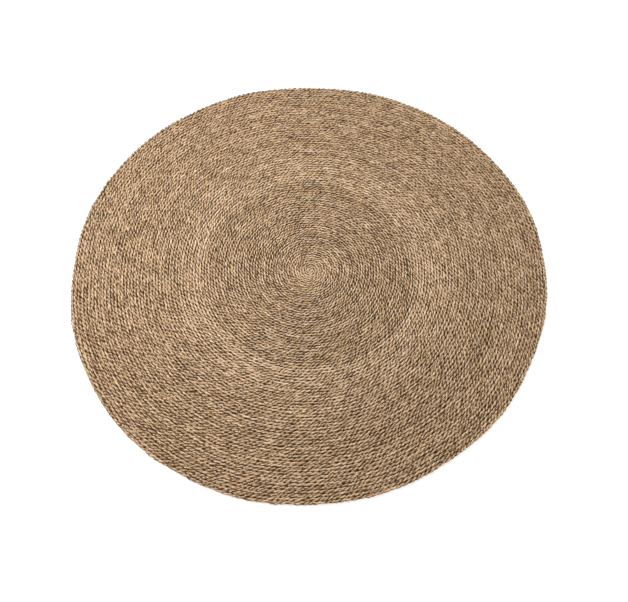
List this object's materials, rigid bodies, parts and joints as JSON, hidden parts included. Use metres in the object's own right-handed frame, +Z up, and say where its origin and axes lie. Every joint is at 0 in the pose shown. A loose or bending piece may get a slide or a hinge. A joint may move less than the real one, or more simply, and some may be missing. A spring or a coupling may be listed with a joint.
{
  "type": "round seagrass rug",
  "caption": "Round floor rug of twisted natural seagrass rope, coiled flat from its centre and sewn turn to turn, with a straw-pale ring.",
  "frame": {"origin": "middle of the rug's box on the floor, under its flat underside", "axes": "+Z up out of the floor, -Y towards the side of the rug that is nearest in the picture, +X to the picture's right"},
  "size_m": [1.4998, 1.49, 0.0098],
  "materials": {
    "seagrass": "matt twisted seagrass rope, straw to mid brown, dark between the strands"
  },
  "bodies": {
    "root": {"rug": "seagrass"}
  },
  "joints": []
}
